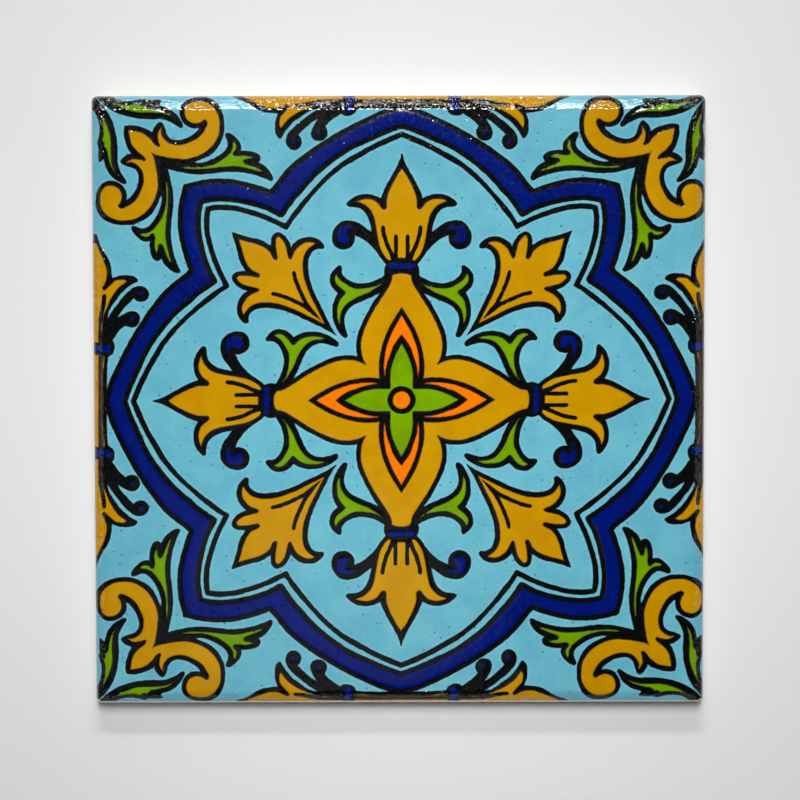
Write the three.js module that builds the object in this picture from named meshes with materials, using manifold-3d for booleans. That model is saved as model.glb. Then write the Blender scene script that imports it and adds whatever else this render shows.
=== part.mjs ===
// A square glazed wall tile, pressed and fired as one piece of earthenware.
// The glazed face is flat and falls away to a narrow cushion bevel on all four sides.
// The sides lean in a little towards the back, so that the tile leaves its die.
// The back has a field of parallel recesses that the bedding mortar keys into.
// Millimetres. +Z is up out of the glazed face, +Y is the printed face's upper edge,
// and the origin is the middle of the back, on the plane that the tile is bedded on.
import * as THREE from "three";
import { mergeVertices } from "three/addons/utils/BufferGeometryUtils.js";
import Module from "manifold-3d";

// The body
const TILE_SIDE = 105; // over the widest line of the edges
const TILE_THICKNESS = 7; // from the bedding plane to the glazed face
const CORNER_RADIUS = 1; // of the widest outline, seen from above
const FACE_CORNER_RADIUS = 0.3; // least radius of an outline nearer the face or the back

// The cushion bevel around the face
const BEVEL_WIDTH = 1.7; // plan width, from the widest line to where bevel and face would meet
const BEVEL_DROP = 1.0; // fall over that width
const BEVEL_FILLET = 0.5; // reach of the round that joins bevel and face, along each of the two
const RIM_ROUND = 0.35; // reach of the round that joins bevel and side, along each of the two

// The sides
const SIDE_DRAFT = 0.35; // how far a side leans in, from its widest line to the back
const BACK_ARRIS = 0.4; // chamfer along the back edge

// The keyed back
const KEY_COUNT = 10; // recesses side by side
const KEY_RIB_WIDTH = 3; // land between two recesses
const KEY_BORDER = 6; // flat border between the recesses and the widest line
const KEY_DEPTH = 0.6;
const KEY_FLANK = 0.5; // how far a recess narrows on each side, from its mouth to its floor

// Fineness of the curves
const CORNER_STEPS = 6; // facets of each vertical corner
const ROUND_STEPS = 5; // facets of each round in the section
const KEY_END_STEPS = 8; // facets of each recess's round end

// Points of a parabola that rounds the corner at b, from a reach along b-a to the same reach along b-c.
function rounded(a, b, c, reach) {
  const from = b.clone().lerp(a, reach / a.distanceTo(b));
  const to = b.clone().lerp(c, reach / c.distanceTo(b));
  return new THREE.QuadraticBezierCurve(from, b, to).getPoints(ROUND_STEPS);
}

// The section through one side, from the back to the face.
// In it x is how far in from the widest line, and y is the height.
function edgeSection() {
  const back = new THREE.Vector2(SIDE_DRAFT + BACK_ARRIS, 0);
  const arris = new THREE.Vector2(SIDE_DRAFT, BACK_ARRIS);
  const rim = new THREE.Vector2(0, TILE_THICKNESS - BEVEL_DROP);
  const widest = new THREE.Vector2(0, rim.y - RIM_ROUND);
  const shoulder = new THREE.Vector2(BEVEL_WIDTH, TILE_THICKNESS);
  const face = new THREE.Vector2(BEVEL_WIDTH + BEVEL_FILLET, TILE_THICKNESS);
  const rimRound = rounded(widest, rim, shoulder, RIM_ROUND);
  return [back, arris, ...rimRound, ...rounded(rim, shoulder, face, BEVEL_FILLET)];
}

// One level outline of the body: a square with round corners, anticlockwise from above.
function outline(inset) {
  const half = TILE_SIDE / 2 - inset;
  const radius = Math.max(CORNER_RADIUS - inset, FACE_CORNER_RADIUS);
  const points = [];
  for (let corner = 0; corner < 4; corner++) {
    const turn = (corner * Math.PI) / 2;
    const centre = new THREE.Vector2(half - radius, half - radius).rotateAround(new THREE.Vector2(), turn);
    for (let step = 0; step <= CORNER_STEPS; step++) {
      const angle = turn + ((Math.PI / 2) * step) / CORNER_STEPS;
      points.push(new THREE.Vector2(Math.cos(angle), Math.sin(angle)).multiplyScalar(radius).add(centre));
    }
  }
  return points;
}

// A closed solid through level outlines that all have the same number of points, lowest first.
function loft(levels) {
  const around = levels[0].points.length;
  const vertices = levels.flatMap(({ points, z }) => points.flatMap((p) => [p.x, p.y, z]));
  const faces = [];
  for (let level = 0; level < levels.length - 1; level++) {
    for (let i = 0; i < around; i++) {
      const a = level * around + i;
      const b = level * around + ((i + 1) % around);
      faces.push(a, b, b + around, a, b + around, a + around);
    }
  }
  const top = (levels.length - 1) * around;
  for (let i = 1; i < around - 1; i++) {
    faces.push(0, i + 1, i);
    faces.push(top, top + i, top + i + 1);
  }
  const geometry = new THREE.BufferGeometry();
  geometry.setAttribute("position", new THREE.Float32BufferAttribute(vertices, 3));
  geometry.setIndex(faces);
  return geometry;
}

// A long hole with round ends, along Y, as a level outline.
function slotOutline(x, halfWidth, halfLength) {
  const points = [];
  for (const end of [1, -1]) {
    const centre = new THREE.Vector2(x, end * (halfLength - halfWidth));
    for (let step = 0; step <= KEY_END_STEPS; step++) {
      const angle = (end > 0 ? 0 : Math.PI) + (Math.PI * step) / KEY_END_STEPS;
      points.push(new THREE.Vector2(Math.cos(angle), Math.sin(angle)).multiplyScalar(halfWidth).add(centre));
    }
  }
  return points;
}

// The recesses, as the solids that are cut out of the back. They reach below it, so that the cut is clean.
function keyCutters() {
  const field = TILE_SIDE - 2 * KEY_BORDER;
  const pitch = (field + KEY_RIB_WIDTH) / KEY_COUNT;
  const mouth = (pitch - KEY_RIB_WIDTH) / 2;
  const below = KEY_DEPTH;
  const cutters = [];
  for (let i = 0; i < KEY_COUNT; i++) {
    const x = (i - (KEY_COUNT - 1) / 2) * pitch;
    const level = (z) => {
      const narrowed = (KEY_FLANK * z) / KEY_DEPTH;
      return { z, points: slotOutline(x, mouth - narrowed, field / 2 - narrowed) };
    };
    cutters.push(loft([level(-below), level(KEY_DEPTH)]));
  }
  return cutters;
}

const wasm = await Module();
wasm.setup();

// A closed three.js geometry as a manifold-3d solid.
function toSolid(geometry) {
  const merged = mergeVertices(geometry);
  return new wasm.Manifold(
    new wasm.Mesh({
      numProp: 3,
      vertProperties: merged.attributes.position.array,
      triVerts: new Uint32Array(merged.index.array),
    }),
  );
}

// A manifold-3d solid back as a three.js geometry.
function toGeometry(solid) {
  const mesh = solid.getMesh();
  const geometry = new THREE.BufferGeometry();
  geometry.setAttribute("position", new THREE.Float32BufferAttribute(mesh.vertProperties, 3));
  geometry.setIndex(new THREE.Uint32BufferAttribute(mesh.triVerts, 1));
  geometry.computeVertexNormals();
  return geometry;
}

const levels = edgeSection().map((p) => ({ z: p.y, points: outline(p.x) }));
const body = keyCutters().reduce((solid, cutter) => solid.subtract(toSolid(cutter)), toSolid(loft(levels)));

const glazedEarthenware = new THREE.MeshStandardMaterial({ color: 0x74bfd2, roughness: 0.22, metalness: 0 });

const tile = new THREE.Mesh(toGeometry(body), glazedEarthenware);
tile.name = "tile";

const group = new THREE.Group();
group.add(tile);

export default group;
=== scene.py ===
# %% [markdown]
# # A glazed ornamental wall tile
# One square ceramic tile lies face up. The clay body is pressed and fired, and a pale blue ground
# glaze covers its face and its softly rounded border. The ornament is painted on it in black
# contours filled with ochre, leaf green, orange and cobalt enamel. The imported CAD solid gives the
# size and the place of everything, so the script starts from that frame.

# %% Load the frame
import math

import bpy
import numpy as np
from mathutils import Matrix, Vector


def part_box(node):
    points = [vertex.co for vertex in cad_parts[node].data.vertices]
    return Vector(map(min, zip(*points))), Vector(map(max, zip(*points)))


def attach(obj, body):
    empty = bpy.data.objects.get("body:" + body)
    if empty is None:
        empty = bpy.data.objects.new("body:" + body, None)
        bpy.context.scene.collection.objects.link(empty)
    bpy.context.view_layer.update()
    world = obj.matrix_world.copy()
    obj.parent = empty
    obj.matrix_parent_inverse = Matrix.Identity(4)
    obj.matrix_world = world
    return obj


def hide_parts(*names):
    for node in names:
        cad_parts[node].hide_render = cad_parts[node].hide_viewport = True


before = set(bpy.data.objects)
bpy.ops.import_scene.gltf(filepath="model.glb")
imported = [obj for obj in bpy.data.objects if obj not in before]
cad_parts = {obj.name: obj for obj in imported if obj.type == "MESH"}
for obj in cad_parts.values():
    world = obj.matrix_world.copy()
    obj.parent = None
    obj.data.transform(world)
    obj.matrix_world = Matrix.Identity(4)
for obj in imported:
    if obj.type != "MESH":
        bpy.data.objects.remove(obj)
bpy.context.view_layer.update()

MM = 0.001
low, high = (np.array(corner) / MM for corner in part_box("tile"))
print("CAD tile, mm:", (high - low).round(3))

# %% [markdown]
# ## The outline of the tile
# The tile is a square with barely rounded corners. Every sheet of the model is a grid of two
# parameters that is laid on this plan, so the grid has to end exactly on the rounded outline. The
# corner squares of the grid are therefore bent into quarter discs, which a formula does for all
# points at once, and the straight sides stay straight.

# %% Plan of the tile
HALF = 52.5
TOP = 7.0
CORNER_RADIUS = 1.0


def rounded_plan(across, along, half, radius):
    """Square to rounded square: inside each corner square of side r the offsets a and b become
    a * sqrt(1 - b^2 / 2 r^2) and b * sqrt(1 - a^2 / 2 r^2); elsewhere nothing moves."""
    a = np.clip(np.abs(across) - (half - radius), 0, radius)
    b = np.clip(np.abs(along) - (half - radius), 0, radius)
    bent_a = a * np.sqrt(1 - b**2 / (2 * radius**2))
    bent_b = b * np.sqrt(1 - a**2 / (2 * radius**2))
    return (
        np.sign(across) * (np.abs(across) - a + bent_a),
        np.sign(along) * (np.abs(along) - b + bent_b),
    )


def border_ring(count):
    """Grid indices of the border, counter-clockwise, starting at the lower left corner."""
    last = count - 1
    run = np.arange(last)
    rows = np.concatenate([run * 0, run, run * 0 + last, last - run])
    columns = np.concatenate([run, run * 0 + last, last - run, run * 0])
    return rows * count + columns


# %% [markdown]
# ## The glaze and its section
# The glaze is a thin coat that runs over the arris of the clay and ends a little way down the
# sides. Seen in section it is flat over the face, drops one millimetre over the border and turns
# down at the rim. The sheet carries the ornament as numbers on its vertices. Its grid lines lie
# half a millimetre apart, closer over the border, and the cells where the ornament has fine tips
# are divided in a later step.

# %% Grid lines of the glaze
BORDER_WIDTH = 2.4
FACE_LINES = 200
BORDER_STEPS = (0, 0.05, 0.16, 0.35, 0.7, 1.1, 1.45, 1.7, 1.95, 2.2)

face_lines = np.linspace(-HALF + BORDER_WIDTH, HALF - BORDER_WIDTH, FACE_LINES)
border_lines = np.array(BORDER_STEPS)
lines = np.concatenate([-HALF + border_lines, face_lines, HALF - border_lines[::-1]])
print("grid lines:", len(lines), "spacing of the face, mm:", round(face_lines[1] - face_lines[0], 3))

# %% Height of the glaze
BEVEL_WIDTH = 1.7
BEVEL_DROP = 1.0
BEVEL_FILLET = 0.5
RIM_ROUND = 0.35


def border_drop(inset):
    """Drop below the face at a distance inset from the rim: a straight slope over the bevel, a
    parabola over the fillet at its inner edge, and a quarter ellipse over the round of the rim."""
    slope = BEVEL_DROP / BEVEL_WIDTH
    bevel = slope * (BEVEL_WIDTH - inset)
    over = np.clip(BEVEL_WIDTH + BEVEL_FILLET - inset, 0, 2 * BEVEL_FILLET)
    fillet = slope * over**2 / (4 * BEVEL_FILLET)
    drop = np.where(inset < BEVEL_WIDTH - BEVEL_FILLET, bevel, fillet)
    turn = np.clip(1 - inset / RIM_ROUND, 0, 1)
    return drop + RIM_ROUND * (1 - np.sqrt(1 - turn**2))


def rim_distance(x, y):
    """Distance inwards from the rounded square: half - r minus the length of the corner offset."""
    a = np.abs(x) - (HALF - CORNER_RADIUS)
    b = np.abs(y) - (HALF - CORNER_RADIUS)
    outside = np.hypot(np.maximum(a, 0), np.maximum(b, 0))
    inside = np.minimum(np.maximum(a, b), 0)
    return CORNER_RADIUS - outside - inside


def glaze_place(column, row):
    """Plan place of a point given in grid lines: the line numbers may be fractions, and the place
    between two lines is in proportion."""
    steps = np.arange(len(lines))
    return rounded_plan(
        np.interp(column, steps, lines), np.interp(row, steps, lines), HALF, CORNER_RADIUS
    )


# %% [markdown]
# ## Drawing the ornament
# The ornament has the full symmetry of the square: one eighth of it, between the axis and the
# diagonal, is drawn, and every point of the tile is folded into that eighth. Each shape is an
# outline of a few points. A smooth curve runs through them, and it has a corner where one run of
# points ends and the next begins. What the vertices keep is the distance to the outline, negative
# inside, because a distance still gives a crisp, even edge between vertices.

# %% Curves through points


def smooth_run(points, steps=5):
    """Smooth curve through the points: the knots are spaced by the square root of each chord, which
    keeps loops away, and between them the curve is blended linearly three times over."""
    p = np.asarray(points, float)
    if len(p) == 2:
        return p
    p = np.vstack([2 * p[0] - p[1], p, 2 * p[-1] - p[-2]])
    knots = np.concatenate([[0], np.cumsum(np.linalg.norm(np.diff(p, axis=0), axis=1) ** 0.5)])
    a, b, c, d = p[:-3, None], p[1:-2, None], p[2:-1, None], p[3:, None]
    ta, tb, tc, td = (knots[i : len(knots) - 3 + i, None, None] for i in range(4))
    t = tb + (tc - tb) * np.linspace(0, 1, steps, endpoint=False)[None, :, None]
    first = ((tb - t) * a + (t - ta) * b) / (tb - ta)
    second = ((tc - t) * b + (t - tb) * c) / (tc - tb)
    third = ((td - t) * c + (t - tc) * d) / (td - tc)
    left = ((tc - t) * first + (t - ta) * second) / (tc - ta)
    right = ((td - t) * second + (t - tb) * third) / (td - tb)
    curve = ((tc - t) * left + (t - tb) * right) / (tc - tb)
    return np.vstack([curve.reshape(-1, 2), p[-2]])


# %% Distance to an outline
REACH = 1.5
BLOCK = 4096
SHORTEST = 1e-12


def distance_to(points, path):
    """Least distance from each point to a path of straight pieces: for each piece the foot is the
    dot product along it, held between its two ends."""
    start, step = path[:-1], np.diff(path, axis=0)
    best = np.full(len(points), np.inf)
    for block in range(0, len(points), BLOCK):
        offset = points[block : block + BLOCK, None] - start
        foot = np.clip((offset * step).sum(2) / np.maximum((step**2).sum(1), SHORTEST), 0, 1)
        gap = offset - foot[..., None] * step
        best[block : block + BLOCK] = np.sqrt((gap**2).sum(2).min(1))
    return best


def is_inside(points, loop):
    """Even-odd rule: a ray to the right crosses the closed loop an odd number of times."""
    a, b = loop, np.roll(loop, -1, axis=0)
    inside = np.zeros(len(points), bool)
    for block in range(0, len(points), BLOCK):
        px, py = points[block : block + BLOCK, 0:1], points[block : block + BLOCK, 1:2]
        spans = (a[:, 1] > py) != (b[:, 1] > py)
        rise = np.where(b[:, 1] == a[:, 1], 1, b[:, 1] - a[:, 1])
        crossing = a[:, 0] + (py - a[:, 1]) / rise * (b[:, 0] - a[:, 0])
        inside[block : block + BLOCK] = (spans & (px < crossing)).sum(1) % 2 == 1
    return inside


def near_path(points, path):
    """Numbers of the points within reach of the path's bounding box."""
    low, high = path.min(0) - REACH, path.max(0) + REACH
    return np.flatnonzero(np.all((points > low) & (points < high), axis=1))


def shape_field(points, shapes):
    """Signed distance to a union of shapes, held at the reach. A shape is its runs of points and
    the points that close it beyond the part that is drawn, which have no edge of their own."""
    field = np.full(len(points), REACH)
    for runs, closing in shapes:
        curves = [smooth_run(run) for run in runs]
        loop = np.vstack([*curves, *([np.array(closing, float)] if closing else [])])
        edge = np.full(len(points), REACH)
        for curve in curves:
            near = near_path(points, curve)
            edge[near] = np.minimum(edge[near], distance_to(points[near], curve))
        around = near_path(points, loop)
        within = is_inside(points[around], loop)
        field[around] = np.minimum(field[around], np.where(within, -edge[around], edge[around]))
    return field


def stroke_field(points, strokes):
    """Signed distance to brush strokes: distance to the stroke's middle line less its half width."""
    field = np.full(len(points), REACH)
    for run, half_width in strokes:
        curve = smooth_run(run)
        near = near_path(points, curve)
        field[near] = np.minimum(field[near], distance_to(points[near], curve) - half_width)
    return field


# %% Where the print lies on the tile
PRINT_OFFSET = (-0.42, -0.31)
PRINT_STRETCH = (-0.06, 0.10)
PRINT_SKEW = (-0.176, -0.128)
PRINT_KEYSTONE = (0.073, 0.322)
CORNER_PULL = 0.45
PULLED_ACROSS = (14, 42)
PULLED_ALONG = (34, 50)


def ease(value, start, end):
    """Smooth step: t^2 (3 - 2 t) of the share t of the way from start to end, held to 0 and 1."""
    t = np.clip((value - start) / (end - start), 0, 1)
    return t * t * (3 - 2 * t)


def print_place(x, y):
    """Place on the print of a point on the tile. Offset, stretch and skew are linear; keystone
    widens the print towards one side, as the product of the place and a linear term; and the two
    front corners of the print are pulled inwards, which an ease in both directions keeps local."""
    across, along = x / HALF, y / HALF
    keystone = PRINT_KEYSTONE[0] * across + PRINT_KEYSTONE[1] * along
    pull = CORNER_PULL * ease(np.abs(x), *PULLED_ACROSS) * ease(-y, *PULLED_ALONG)
    skewed_x = x + PRINT_OFFSET[0] + PRINT_STRETCH[0] * across + PRINT_SKEW[0] * along
    skewed_y = y + PRINT_OFFSET[1] + PRINT_SKEW[1] * across + PRINT_STRETCH[1] * along
    return skewed_x + keystone * across + np.sign(x) * pull, skewed_y + keystone * along - pull


def fold(x, y):
    """Folds a point into the eighth between the axis and the diagonal: its larger and its smaller
    distance from the two axes."""
    a, b = np.abs(x), np.abs(y)
    return np.column_stack([np.maximum(a, b), np.minimum(a, b)])


# %% [markdown]
# ## The black contours
# In the middle a four-lobed flower opens into lilies on the axes, with a sprig and a tendril on
# each side. A smaller lily lies on each diagonal. Round them run a thin line and a wide cobalt band,
# and outside the band the corners hold scrolls and leaves, and the middles of the sides hold half
# lilies that the next tile completes. Each shape below is the outer edge of the black, in mm from
# the middle of the print.

# %% Middle flower, axial lily, sprig and tendril
FLOWER = [
    [(7.6, 7.6), (8.3, 7.72), (9.2, 7.8), (10, 7.78), (11, 7.62), (12, 7.37), (13, 6.98), (14, 6.5),
     (15, 6), (16, 5.45), (17, 4.9), (17.9, 4.25), (18.45, 3.85)],
    [(18.45, 3.85), (18.15, 4.5), (17.8, 5.2), (17.45, 6.05), (17, 7.1), (16.6, 8), (16.1, 8.75),
     (15.5, 9.3), (14.6, 9.75), (13.7, 9.85), (12.8, 9.7), (12, 9.48), (11.4, 9.27), (11.1, 9.25),
     (10.85, 9.45), (10.8, 9.75), (10.95, 10.1), (11.5, 10.6), (12.2, 11.05), (13, 11.45), (14, 11.77),
     (15, 11.9), (16, 11.9), (17, 11.72), (17.9, 11.35), (18.55, 11)],
    [(18.55, 11), (19, 11.5), (19.6, 12), (20.3, 12.28), (21, 12.37), (21.7, 12.28), (22.3, 11.97),
     (22.8, 11.5), (23.2, 11), (23.35, 10.65), (23.2, 10.35), (22.8, 10.25), (22.2, 10.27), (21.6, 10),
     (21.1, 9.5), (20.7, 8.9), (20.4, 8.1), (20.2, 7), (20.3, 6), (20.55, 5), (20.95, 4), (21.35, 3.3),
     (21.6, 2.9)],
    [(21.6, 2.9), (22, 3), (22.5, 3.03), (23, 2.93), (23.5, 2.7)],
    [(23.5, 2.7), (24.05, 3.2), (24.7, 3.7), (25.5, 4.2), (26.3, 4.85), (27, 5.55), (27.6, 6.3),
     (28.1, 7.1), (28.5, 8.05)],
    [(28.5, 8.05), (28, 8.02), (27.4, 8.15), (26.8, 8.45), (26.35, 8.95), (26.1, 9.5), (26.05, 10.1),
     (26.2, 10.8), (26.6, 11.4), (27.2, 11.85), (28, 12), (28.7, 11.97), (29.4, 11.75), (30, 11.4),
     (30.6, 10.85), (30.95, 10.3), (31.1, 9.6), (31.1, 8.9), (30.95, 8.2), (30.7, 7.4), (30.3, 6.8),
     (29.8, 6.15), (29.4, 5.6), (29.1, 5.15)],
    [(29.1, 5.15), (30, 5.33), (31, 5.58), (31.9, 5.95), (32.6, 6.45), (33.15, 7.1), (33.4, 7.85),
     (33.45, 8.5), (33.5, 9.1), (33.7, 9.45), (34, 9.53), (34.3, 9.35), (34.9, 8.65), (35.35, 7.9),
     (35.65, 6.9), (35.7, 6), (35.6, 5.15), (35.35, 4.4), (34.95, 3.6)],
    [(34.95, 3.6), (35.6, 3.4), (36.2, 3.15), (37, 2.78), (38, 2.25), (39, 1.68), (40, 1.1), (41, 0.62),
     (42, 0.25), (42.5, 0.17), (42.8, 0)],
]

# %% Diagonal lily
LILY = [
    [(11.15, 11.15), (11.4, 11.3), (12, 11.7), (13, 12.27), (14, 12.8), (15, 13.26), (16, 13.75),
     (17, 14.2), (18, 14.72), (19, 15.14), (20, 15.5), (21, 15.8), (22, 15.97), (23, 16.07), (24, 16.07),
     (25, 15.8), (25.65, 15.45), (26.06, 14.98), (26.27, 14.46), (26.28, 14), (26.22, 13.7),
     (26.35, 13.4), (26.64, 13.3), (26.95, 13.42), (27.2, 13.6), (27.6, 14), (28, 14.6), (28.22, 15.3),
     (28.27, 16), (28.15, 16.8), (27.85, 17.6), (27.45, 18.2), (27, 18.65), (26.47, 18.98)],
    [(26.47, 18.98), (27.15, 19.2), (28, 19.66), (28.6, 20.2), (29, 20.8), (29.13, 21.3), (28.97, 21.8),
     (28.5, 22.2), (28, 22.36), (27.35, 22.4), (26.75, 22.4)],
    [(26.75, 22.4), (27.04, 22.94), (27.46, 23.56), (27.77, 24.2), (28, 24.9), (28.14, 25.75),
     (28.34, 26.5), (28.5, 27.04), (28.76, 27.93), (29.02, 28.6), (29.2, 29.2)],
]

# %% Thin line and cobalt band
THIN_IN = [
    [(32.85, 32.85), (32.95, 32), (33, 31), (32.95, 30), (32.9, 29), (32.7, 28), (32.4, 26.9),
     (32.1, 25.8), (31.7, 24.6), (31.2, 23.3), (30.7, 22.2), (30.1, 21), (29.55, 19.9)],
    [(29.55, 19.9), (29.6, 19.6), (30.2, 19.25), (31.2, 18.6), (32.4, 17.6), (33.5, 16.8), (34.6, 15.95),
     (35.5, 15.2), (36.5, 14.3), (37.5, 13.35), (38.5, 12.3), (39.5, 11.1), (40.5, 9.8), (41.3, 8.4),
     (42.04, 7.1), (43, 5.5), (43.5, 4.5), (44, 3.45), (44.5, 2.3), (45, 1.15), (45.5, 0)],
]
THIN = [
    [(33.55, 33.55), (33.8, 32.6), (33.9, 31.5), (33.9, 30.4), (33.8, 29.2), (33.6, 28), (33.3, 26.9),
     (33, 25.8), (32.6, 24.6), (32.1, 23.3), (31.6, 22.1), (31.1, 21.1), (30.6, 19.95)],
    [(30.6, 19.95), (31.5, 19.35), (32.5, 18.7), (33.5, 17.9), (34.5, 17.1), (35.5, 16.2), (36.5, 15.3),
     (37.5, 14.4), (38.5, 13.45), (39.5, 12.4), (40.5, 11.2), (41.5, 9.9), (42.5, 8.2), (43.1, 7.1),
     (44, 5.5), (44.5, 4.5), (45, 3.5), (45.5, 2.4), (46, 1.1), (46.45, 0)],
]
BAND_IN = [
    [(34.1, 34.1), (34.3, 33.1), (34.45, 32), (34.5, 31), (34.45, 30), (34.35, 29), (34.2, 28),
     (34, 27.1), (33.8, 26.1), (33.5, 25), (33.2, 24), (32.8, 23), (32.3, 22), (31.7, 20.9), (31.65, 20.5)],
    [(31.65, 20.5), (32.1, 20.1), (33.2, 19.4), (34.3, 18.6), (35.2, 17.9), (36, 17.1), (37, 16.3),
     (38, 15.4), (39, 14.45), (40, 13.3), (41, 12.05), (42, 10.7), (43, 9.2), (43.6, 8.1), (44.05, 7.15),
     (44.5, 6.1), (45, 5), (45.5, 3.9), (46, 2.75), (46.5, 1.5), (47, 0)],
]
BAND_OUT = [
    [(37.45, 37.45), (37.55, 37), (37.8, 36), (38.05, 35), (38.23, 34), (38.35, 33), (38.42, 32),
     (38.44, 31), (38.4, 30), (38.3, 29), (38.1, 28), (37.88, 27), (37.63, 26), (37.34, 25), (37.03, 24),
     (36.7, 23.1), (36.5, 22.73)],
    [(36.5, 22.73), (37, 22.16), (38, 21.4), (39, 20.65), (40, 19.8), (41, 18.8), (42, 17.6),
     (43, 16.25), (43.75, 15.24), (44.4, 14.25), (45, 13.25), (45.5, 12.5), (46, 11.7), (46.5, 10.8),
     (47, 9.9), (47.5, 8.95), (48, 8), (48.5, 6.95), (49, 5.9), (49.5, 4.85), (50, 3.75), (50.5, 2.2)],
]

# %% Half lily at the middle of a side
EDGE_MOTIF = [
    [(50.5, 2.2), (50.5, 4), (50.45, 6), (50.3, 7.7)],
    [(50.3, 7.7), (49.9, 7.9), (49.6, 8.1), (49.26, 8.73), (49.18, 9.46), (49.3, 10.1), (49.6, 10.55)],
    [(49.6, 10.55), (49.2, 11), (48.7, 11.75), (48.2, 12.4), (47.4, 13.1)],
    [(47.4, 13.1), (47, 12.9), (46.4, 12.7), (45.8, 12.8), (45.2, 13.2), (44.87, 13.8), (44.83, 14.4),
     (45, 15), (45.45, 15.45), (46.1, 15.65), (46.9, 15.5), (47.65, 15.1), (48.65, 14.5)],
    [(48.65, 14.5), (48.2, 15.3), (47.35, 16.3), (46.5, 17.2), (45.95, 17.75)],
    [(45.95, 17.75), (45.5, 17.35), (44.9, 17.15), (44.3, 17.2), (43.75, 17.5), (43.4, 17.95),
     (43.28, 18.5), (43.4, 19), (43.75, 19.5), (44.3, 19.85), (45, 19.95), (45.98, 19.7), (46.6, 19.24),
     (47.33, 18.56), (48, 17.83), (48.6, 17), (49.4, 16), (49.94, 15.2), (50.4, 14.35)],
    [(50.4, 14.35), (50.3, 15.1), (49.95, 16), (49.3, 17), (48.7, 17.83), (48.2, 18.56), (47.4, 19.3),
     (46.7, 19.9), (45.98, 20.33), (45.3, 20.7), (45.25, 21), (45.46, 21.3), (45.98, 21.64),
     (46.8, 21.8), (47.65, 21.8), (48.4, 21.74), (49, 21.53), (49.65, 21.27)],
    [(49.65, 21.27), (49.7, 22.3), (49.8, 23), (49.94, 23.8), (50.25, 24.6), (50.67, 25.3), (51.2, 26.1),
     (51.6, 26.8), (51.9, 27.5), (52.2, 28.4), (52.45, 29)],
]

# %% Scroll, sprig and leaf of a corner
SCROLL = [
    [(40.2, 40.2), (40, 39.5), (39.8, 38.75), (39.6, 37.8), (39.4, 37), (39.28, 36), (39.2, 35),
     (39.2, 34), (39.3, 33), (39.4, 32), (39.53, 31), (39.6, 30), (39.63, 29), (39.58, 28), (39.45, 27),
     (39.25, 26), (39, 25), (38.65, 24), (38.3, 23.15), (37.97, 22.5), (38.2, 22.16), (38.85, 22.23),
     (39.5, 22.57), (40.2, 23.15), (40.7, 23.67), (41.04, 24.3), (41.25, 24.7)],
    [(41.25, 24.7), (41.46, 24.4), (41.98, 24.24), (42.5, 24.5), (42.86, 25.02), (43.07, 25.75),
     (43.2, 26.5), (43.23, 27), (43.18, 27.7)],
    [(43.18, 27.7), (43.85, 27.58), (44.6, 27.8), (45.15, 28.2), (45.67, 28.7), (46.1, 29.2),
     (46.34, 29.75), (46.3, 30.17), (45.98, 30.3), (45.46, 30.17), (45.04, 29.96), (44.5, 29.85),
     (44, 29.9), (43.33, 30.3), (42.7, 31), (42.2, 31.73), (41.77, 32.56), (41.46, 33.4), (41.25, 34.2),
     (41.17, 34.96), (41.27, 35.6)],
    [(41.27, 35.6), (41.56, 34.96), (41.9, 34.1), (42.3, 33.3), (42.8, 32.56), (43.44, 31.9),
     (44.2, 31.4), (45, 31), (46.1, 30.6), (47.1, 30.5), (48.2, 30.5), (49, 30.6), (49.8, 30.84),
     (50.67, 31.2), (51.3, 31.6), (51.8, 32.15), (52.3, 33), (52.5, 34), (52.5, 35), (52.3, 36.1),
     (51.8, 37.1), (51.1, 37.8), (50.3, 38.1), (49.4, 38.05), (48.6, 37.75), (47.95, 37.3), (47.4, 36.6),
     (47.2, 35.9), (47.15, 35.4), (47.3, 34.85)],
    [(47.3, 34.85), (47, 34.9), (46.6, 35.2), (46.1, 35.8), (45.56, 36.67), (45.25, 37.5), (45.1, 38.2),
     (45.1, 38.96), (45.3, 39.6), (45.7, 40.1), (46.3, 40.4), (47, 40.6), (47.5, 40.8), (47.96, 41),
     (48.25, 41.4), (48, 41.9), (47.4, 42.4), (46.9, 42.66), (46.35, 42.75)],
    [(46.35, 42.75), (46.9, 43.54), (47.2, 44.27), (47.45, 45), (47.65, 45.9), (47.7, 46.7), (47.6, 47.5)],
]
EDGE_LEAF = [
    [(52.7, 52.62), (51.9, 51.8), (51.2, 51.05), (50.67, 50.37), (50.25, 49.7), (49.83, 48.9),
     (49.5, 48.06), (49.26, 47.2), (49.05, 46.4), (48.9, 45.67), (48.8, 44.8), (48.74, 44), (48.7, 43),
     (48.74, 41.9), (48.7, 41.15), (48.5, 40.4), (48.17, 39.6), (47.75, 38.85), (47.33, 38.3),
     (47.16, 37.9), (47.33, 37.55), (47.85, 37.55), (48.4, 37.86), (49, 38.2), (49.6, 38.65),
     (50.15, 39.3), (50.56, 39.9), (50.8, 40.5), (51, 41.2), (51.15, 41.8)],
    [(51.15, 41.8), (51.5, 41.5), (51.85, 41.25), (52.05, 41.6), (52.1, 42.5), (52.05, 43.8)],
    [(52.05, 43.8), (52.3, 44.5), (52.05, 45.5), (51.85, 46.8), (51.95, 48), (52.3, 49.2), (53, 50.2)],
]

# %% [markdown]
# ## The enamel windows
# The black is painted first and each colour fills a window in it, so the windows are outlines of
# their own. The fields are kept apart, one for each colour, because that keeps the corners sharp
# where two edges meet.

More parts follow.
